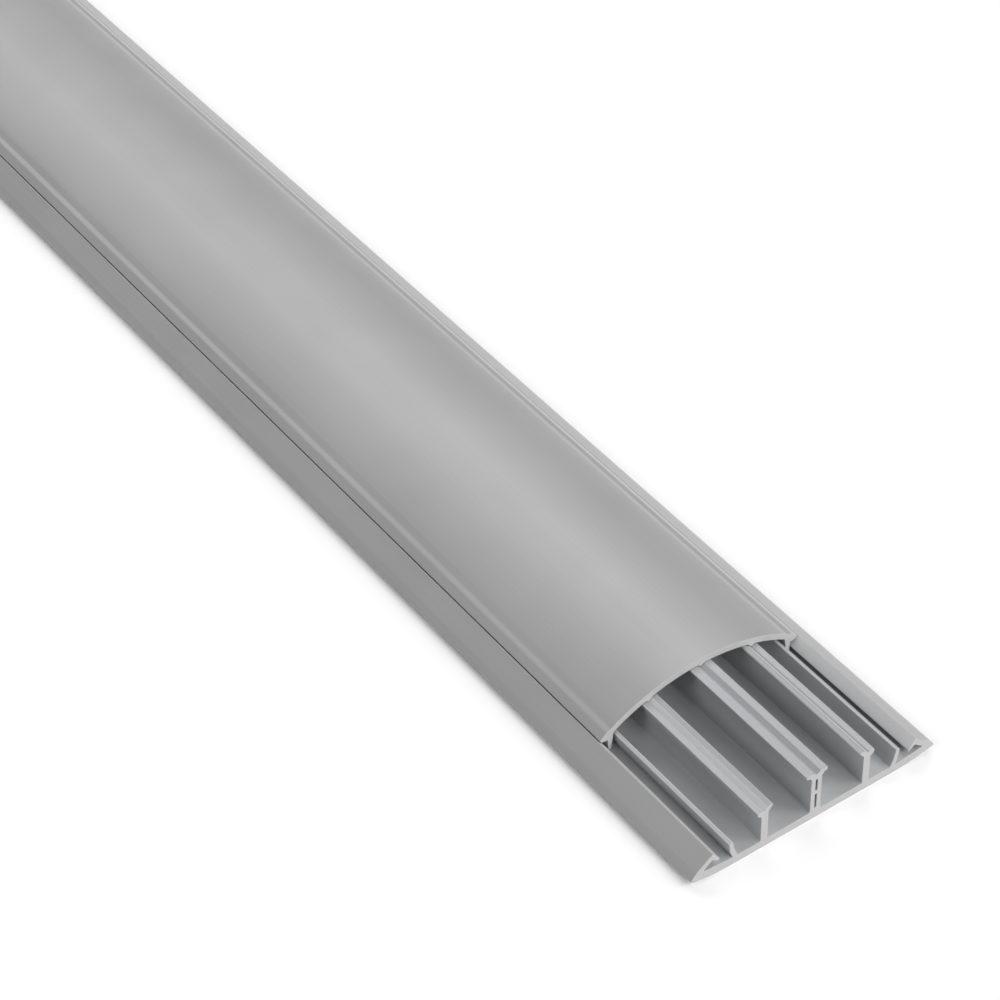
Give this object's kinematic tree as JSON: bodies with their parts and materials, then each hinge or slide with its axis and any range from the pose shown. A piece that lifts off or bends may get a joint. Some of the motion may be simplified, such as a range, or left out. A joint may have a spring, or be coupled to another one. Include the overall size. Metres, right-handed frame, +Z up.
{
  "type": "floor cord cover",
  "caption": "Low arched floor trunking in grey rigid PVC: a ribbed base with sloping wings and divided cable channels, and a clip-on cover that slides along it.",
  "frame": {"origin": "centre of the whole object's footprint, on the floor plane under the base", "axes": "+X across the trunking, +Y along it from the open near end towards the end where the cover overhangs, +Z up from the floor"},
  "size_m": [0.075, 1.0444, 0.018],
  "materials": {
    "base_pvc": "grey rigid PVC, extruded, satin, sawn ends",
    "cover_pvc": "grey rigid PVC, extruded, satin, sawn ends"
  },
  "bodies": {
    "base_body": {"base": "base_pvc"},
    "cover_body": {"cover": "cover_pvc"}
  },
  "joints": [
    {"name": "cover_slide", "type": "slide", "parent": "base_body", "child": "cover_body", "axis": [0, 1, 0], "range_m": [-0.0445, 0.5]}
  ]
}
